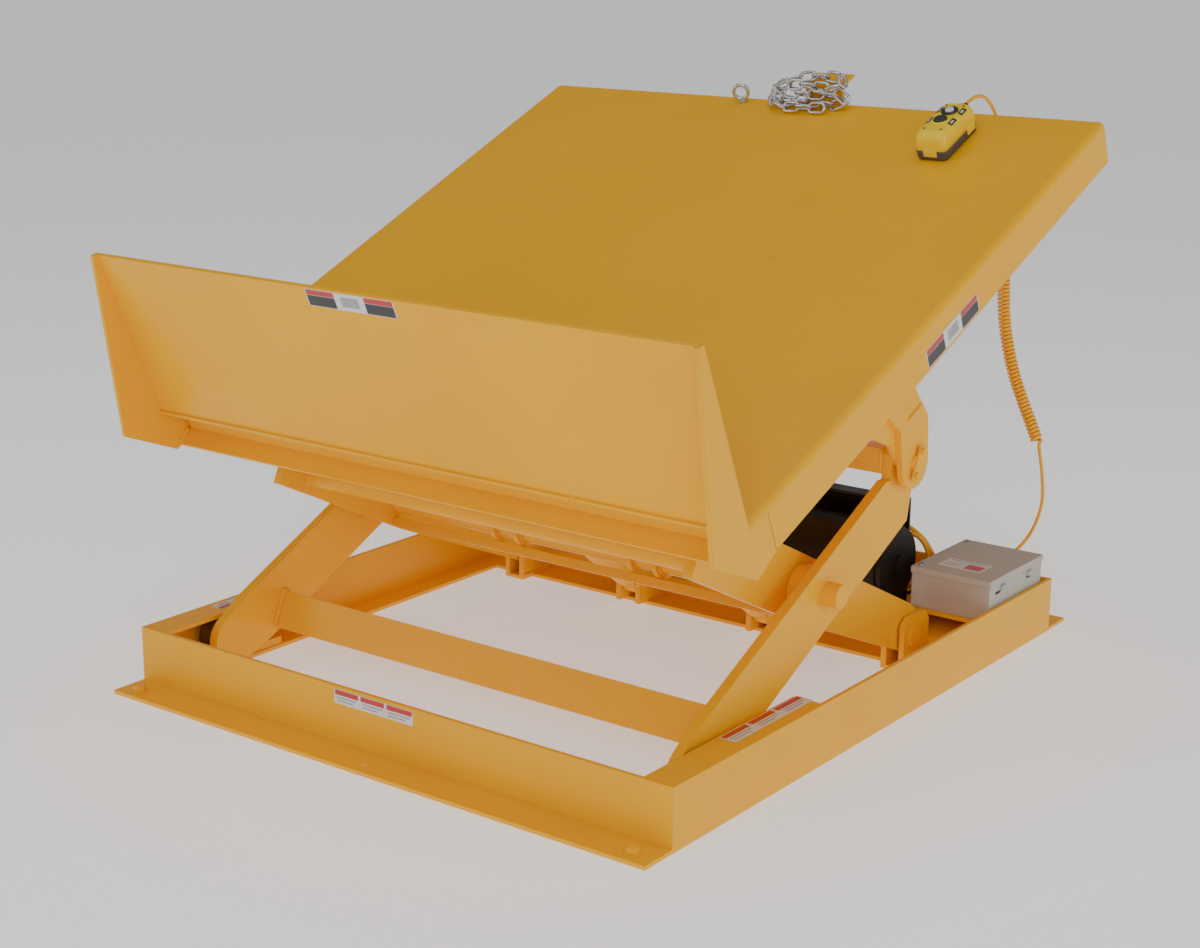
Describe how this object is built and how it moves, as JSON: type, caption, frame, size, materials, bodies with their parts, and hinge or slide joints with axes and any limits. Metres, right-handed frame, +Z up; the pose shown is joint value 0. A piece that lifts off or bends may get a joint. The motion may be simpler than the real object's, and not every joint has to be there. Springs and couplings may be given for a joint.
{
  "type": "scissor lift table",
  "caption": "Hydraulic scissor lift table with a sloping platform, front retaining lip, floor base frame, power unit, control box and a hanging push-button pendant.",
  "frame": {"origin": "on the floor at the centre of the base frame", "axes": "+X across the table to the control box side, +Y from the front lip to the raised rear edge, +Z up"},
  "size_m": [1.3716, 1.54, 1.1674],
  "materials": {
    "yellow_paint": "glossy safety yellow paint",
    "zinc": "bright zinc plate",
    "bright_steel": "polished ground steel",
    "roller_steel": "dark greased steel",
    "grey_enclosure": "satin warm grey powder coat",
    "panel_parts": "light grey moulded plastic",
    "black_plastic": "black moulded plastic",
    "black_paint": "satin black paint",
    "pump_alloy": "cast aluminium",
    "yellow_cable": "smooth yellow cable sheath",
    "black_cable": "black cable sheath",
    "pendant_grey": "dark grey moulded plastic",
    "pendant_yellow": "yellow moulded plastic",
    "white_key": "off-white plastic"
  },
  "bodies": {
    "base": {"front_rail": "yellow_paint", "rear_rail": "yellow_paint", "left_channel": "yellow_paint", "right_channel": "yellow_paint", "rear_crossmember": "yellow_paint", "pivot_lugs": "yellow_paint", "base_pins": "yellow_paint", "ram_lugs": "yellow_paint", "anchor_bolts": "yellow_paint", "box_shelf": "yellow_paint", "control_box": "grey_enclosure", "box_internals": "panel_parts", "cord_gland": "black_plastic", "motor": "black_paint", "pump_block": "pump_alloy", "oil_tank": "black_paint", "power_bracket": "black_paint", "supply_lead": "yellow_cable", "control_lead": "black_cable", "curly_coil": "yellow_cable", "box_lead": "yellow_cable"},
    "box_cover": {"box_lid": "grey_enclosure", "lid_screws": "zinc"},
    "inner_legs": {"inner_leg_left": "yellow_paint", "inner_leg_right": "yellow_paint", "inner_bottom_bar": "yellow_paint", "inner_tip_tube": "yellow_paint", "guide_axles": "zinc"},
    "guide_wheels": {"guide_rollers": "roller_steel"},
    "outer_legs": {"outer_leg_left": "yellow_paint", "outer_leg_right": "yellow_paint", "outer_front_beam": "yellow_paint", "outer_top_beam": "yellow_paint", "centre_shaft": "yellow_paint", "cam_levers": "yellow_paint", "cam_pins": "zinc", "roller_axles": "yellow_paint"},
    "base_wheels": {"base_rollers": "roller_steel"},
    "barrels": {"ram_barrels": "yellow_paint"},
    "rods": {"ram_rods": "bright_steel"},
    "platform": {"deck": "yellow_paint", "deck_ribs": "yellow_paint", "lip": "yellow_paint", "lip_ledge": "yellow_paint", "nose": "yellow_paint", "lip_gusset_left": "yellow_paint", "lip_gusset_right": "yellow_paint", "pivot_bracket_left": "yellow_paint", "pivot_bracket_right": "yellow_paint", "platform_pins": "yellow_paint", "pin_keepers": "yellow_paint", "guide_tracks": "yellow_paint", "chain_bracket": "yellow_paint", "retaining_chain": "zinc", "chain_eye": "zinc", "pendant_shell": "pendant_grey", "pendant_cover": "pendant_yellow", "pendant_lead": "yellow_cable"},
    "up_key": {"up_button": "white_key"},
    "down_key": {"down_button": "black_plastic"}
  },
  "joints": [
    {"name": "lift", "type": "hinge", "parent": "base", "child": "inner_legs", "pos_m": [0, 0.316, 0.066], "axis": [-1, 0, 0], "range_deg": [-20, 0], "deforming": ["curly_coil"]},
    {"name": "scissor", "type": "hinge", "parent": "inner_legs", "child": "outer_legs", "pos_m": [0, -0.108, 0.275], "axis": [1, 0, 0], "range_deg": [-40, 0]},
    {"name": "platform_pivot", "type": "hinge", "parent": "outer_legs", "child": "platform", "pos_m": [0, 0.158, 0.47], "axis": [-1, 0, 0], "range_deg": [-20, 0]},
    {"name": "barrel_pivot", "type": "hinge", "parent": "base", "child": "barrels", "pos_m": [0, 0.31, 0.05], "axis": [-1, 0, 0], "range_deg": [-18.6, 0]},
    {"name": "rod_slide", "type": "slide", "parent": "barrels", "child": "rods", "axis": [0, -0.7911, 0.6117], "range_m": [-0.061, 0]},
    {"name": "base_wheel_spin", "type": "hinge", "parent": "outer_legs", "child": "base_wheels", "pos_m": [0, -0.532, 0.066], "axis": [-1, 0, 0], "continuous": true},
    {"name": "guide_wheel_spin", "type": "hinge", "parent": "inner_legs", "child": "guide_wheels", "pos_m": [0, -0.374, 0.47], "axis": [-1, 0, 0], "continuous": true},
    {"name": "box_cover_hinge", "type": "hinge", "parent": "base", "child": "box_cover", "pos_m": [0.625, 0.541, 0.161], "axis": [0, 1, 0], "range_deg": [0, 110]},
    {"name": "up_press", "type": "slide", "parent": "platform", "child": "up_key", "axis": [0, 0.3955, -0.9184], "range_m": [0, 0.003], "stiffness_N_per_m": 800},
    {"name": "down_press", "type": "slide", "parent": "platform", "child": "down_key", "axis": [0, 0.3955, -0.9184], "range_m": [0, 0.003], "stiffness_N_per_m": 800}
  ],
  "couplings": [
    {"joint": "scissor", "follows": "lift", "ratio": 2},
    {"joint": "platform_pivot", "follows": "lift", "ratio": 1},
    {"joint": "barrel_pivot", "follows": "lift", "ratio": 0.92},
    {"joint": "rod_slide", "follows": "lift", "m_per_rad": 0.1719}
  ]
}
